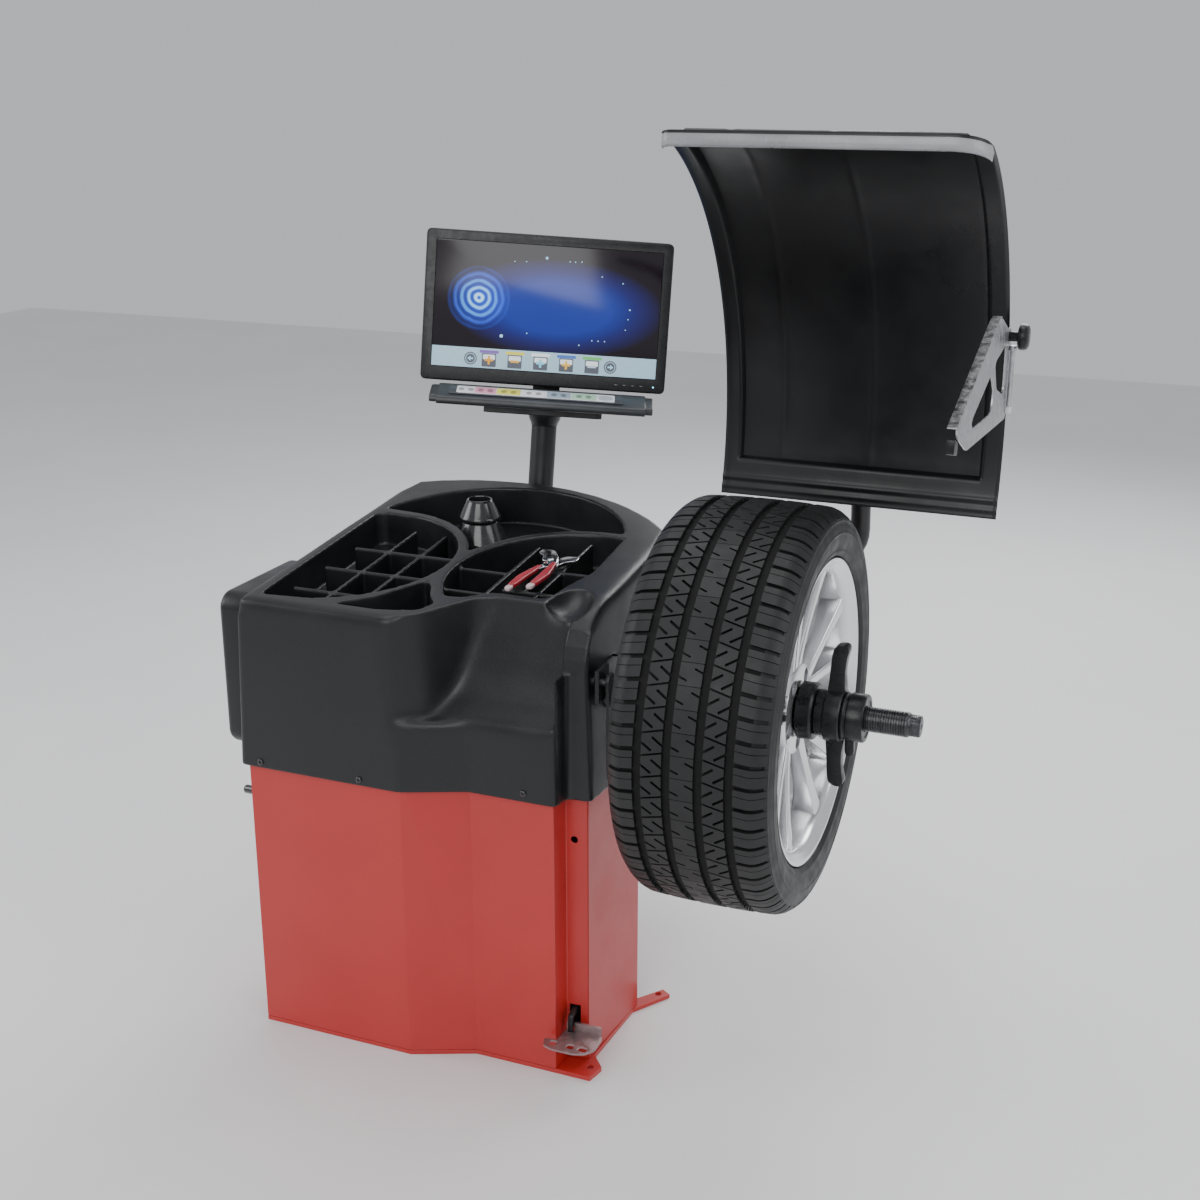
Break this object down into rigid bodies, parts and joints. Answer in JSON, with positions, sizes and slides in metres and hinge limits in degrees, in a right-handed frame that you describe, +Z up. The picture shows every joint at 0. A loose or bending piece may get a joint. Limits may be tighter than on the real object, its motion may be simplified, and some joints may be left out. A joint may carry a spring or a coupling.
{
  "type": "wheel balancer",
  "caption": "Floor-standing wheel balancer with weight tray, monitor on a post, tilting wheel guard and a car wheel clamped on its spindle.",
  "frame": {"origin": "on the floor, under the spindle axis and mid-width of the cabinet", "axes": "+X along the spindle away from the cabinet, +Y to the back, +Z up"},
  "size_m": [1.246, 0.9609, 1.5719],
  "materials": {
    "red_paint": "semi-gloss powder coat, fine texture",
    "black_paint": "satin black powder coat",
    "cover_plastic": "fine leather-grain thermoformed plastic",
    "hood_plastic": "smooth moulded plastic",
    "dark_steel": "blackened machined steel",
    "bright_steel": "zinc plated",
    "cast_iron": "painted casting",
    "alloy": "polished cast alloy",
    "tyre_rubber": "new tyre",
    "belt_rubber": "ribbed belt",
    "circuit_board": "green laminate",
    "black_plastic": "moulded plastic",
    "grey_plastic": "satin moulded plastic",
    "screen_glass": "display panel",
    "key_strip": "printed membrane strip",
    "red_grip": "dipped grip"
  },
  "bodies": {
    "base": {"base_plate": "red_paint", "front_panel": "red_paint", "right_side_panel": "red_paint", "left_side_panel": "red_paint", "rear_panel": "red_paint", "spindle_pedestal": "cast_iron", "support_frame": "black_paint", "weight_tray_cover": "cover_plastic", "side_pod": "cover_plastic", "accessory_peg": "black_plastic", "cover_screw_left": "black_paint", "cover_screw_middle": "black_paint", "cover_screw_right": "black_paint", "control_board": "circuit_board", "mains_inlet": "black_plastic", "spindle_housing": "cast_iron", "rear_bearing": "bright_steel", "front_bearing": "bright_steel", "force_sensor_front": "bright_steel", "force_sensor_rear": "bright_steel", "motor": "cast_iron", "motor_bracket": "black_paint", "drive_belt": "belt_rubber", "pedal_spring": "bright_steel", "gauge_guide": "black_plastic", "guard_bracket": "black_paint", "monitor_post": "black_paint"},
    "spindle": {"spindle_shaft": "dark_steel", "backing_flange": "dark_steel", "drive_pulley": "cast_iron", "encoder_disc": "bright_steel"},
    "motor_rotor": {"motor_pulley": "bright_steel"},
    "wheel": {"rim": "alloy", "tyre": "tyre_rubber"},
    "nut_cup": {"pressure_cup": "black_paint"},
    "quick_nut": {"nut_hub": "black_paint", "nut_handle": "black_plastic"},
    "nut_release": {"release_lever": "black_plastic"},
    "guard": {"guard_tube": "black_paint", "guard_hood": "hood_plastic", "width_arm_pivot": "black_paint"},
    "width_arm": {"width_arm_plate": "bright_steel", "width_arm_rod": "bright_steel", "width_sensor": "black_plastic"},
    "gauge_slider": {"gauge_rod": "bright_steel"},
    "gauge_pointer": {"gauge_arm": "black_plastic"},
    "pedal": {"pedal_lever": "dark_steel", "pedal_plate": "bright_steel"},
    "power_switch": {"main_switch": "black_plastic"},
    "head": {"post_collar": "cover_plastic", "head_plate": "black_paint", "console_body": "grey_plastic", "console_keypad": "key_strip", "monitor_bracket": "black_paint"},
    "monitor": {"monitor_housing": "black_plastic", "screen_panel": "screen_glass"},
    "large_cone": {"cone_large": "black_paint"},
    "small_cone": {"cone_small": "black_paint"},
    "pliers": {"pliers_lower_half": "red_grip"},
    "pliers_jaw": {"pliers_upper_half": "red_grip"}
  },
  "joints": [
    {"name": "spindle_spin", "type": "hinge", "parent": "base", "child": "spindle", "pos_m": [0.4, 0, 0.69], "axis": [1, 0, 0], "continuous": true},
    {"name": "motor_spin", "type": "hinge", "parent": "base", "child": "motor_rotor", "pos_m": [0.08, 0, 0.43], "axis": [1, 0, 0], "continuous": true},
    {"name": "wheel_slide", "type": "slide", "parent": "spindle", "child": "wheel", "axis": [1, 0, 0], "range_m": [0, 0.04]},
    {"name": "nut_slide", "type": "slide", "parent": "wheel", "child": "nut_cup", "axis": [1, 0, 0], "range_m": [0, 0.05]},
    {"name": "nut_turn", "type": "hinge", "parent": "nut_cup", "child": "quick_nut", "pos_m": [0.7, 0, 0.69], "axis": [1, 0, 0], "continuous": true},
    {"name": "release_press", "type": "hinge", "parent": "quick_nut", "child": "nut_release", "pos_m": [0.712, 0, 0.657], "axis": [0, -1, 0], "range_deg": [0, 10], "stiffness_Nm_per_rad": 0.6, "springref_deg": -11.46},
    {"name": "guard_swing", "type": "hinge", "parent": "base", "child": "guard", "pos_m": [0.4, 0.53, 0.79], "axis": [1, 0, 0], "range_deg": [0, 45]},
    {"name": "width_arm_swing", "type": "hinge", "parent": "guard", "child": "width_arm", "pos_m": [0.846, 0.426, 1.232], "axis": [1, 0, 0], "range_deg": [0, 30]},
    {"name": "gauge_pull", "type": "slide", "parent": "base", "child": "gauge_slider", "axis": [1, 0, 0], "range_m": [0, 0.075]},
    {"name": "gauge_swing", "type": "hinge", "parent": "gauge_slider", "child": "gauge_pointer", "pos_m": [0.33, -0.062, 0.712], "axis": [-1, 0, 0], "range_deg": [0, 100]},
    {"name": "pedal_press", "type": "hinge", "parent": "base", "child": "pedal", "pos_m": [0.273, 0.04, 0.1], "axis": [1, 0, 0], "range_deg": [0, 10], "stiffness_Nm_per_rad": 12, "springref_deg": -8.59},
    {"name": "switch_rock", "type": "hinge", "parent": "base", "child": "power_switch", "pos_m": [-0.2, 0.1225, 0.134], "axis": [-1, 0, 0], "range_deg": [0, 14]},
    {"name": "head_swivel", "type": "hinge", "parent": "base", "child": "head", "pos_m": [-0.062, 0.561, 1], "axis": [0, 0.1736, 0.9848], "range_deg": [-60, 40]},
    {"name": "monitor_tilt", "type": "hinge", "parent": "head", "child": "monitor", "pos_m": [-0.04252, 0.54738, 1.20041], "axis": [0.9272, 0.3689, -0.065], "range_deg": [-12, 3]},
    {"name": "large_cone_lift", "type": "slide", "parent": "base", "child": "large_cone", "axis": [0, 0, 1], "range_m": [0, 0.06]},
    {"name": "small_cone_lift", "type": "slide", "parent": "large_cone", "child": "small_cone", "axis": [0, 0, 1], "range_m": [0, 0.05]},
    {"name": "pliers_lift", "type": "slide", "parent": "base", "child": "pliers", "axis": [0, 0, 1], "range_m": [0, 0.1]},
    {"name": "pliers_open", "type": "hinge", "parent": "pliers", "child": "pliers_jaw", "pos_m": [0.15, 0.108, 0.8385], "axis": [0, -0.0489, 0.9988], "range_deg": [0, 12]}
  ],
  "couplings": [
    {"joint": "motor_spin", "follows": "spindle_spin", "ratio": 3.2}
  ]
}
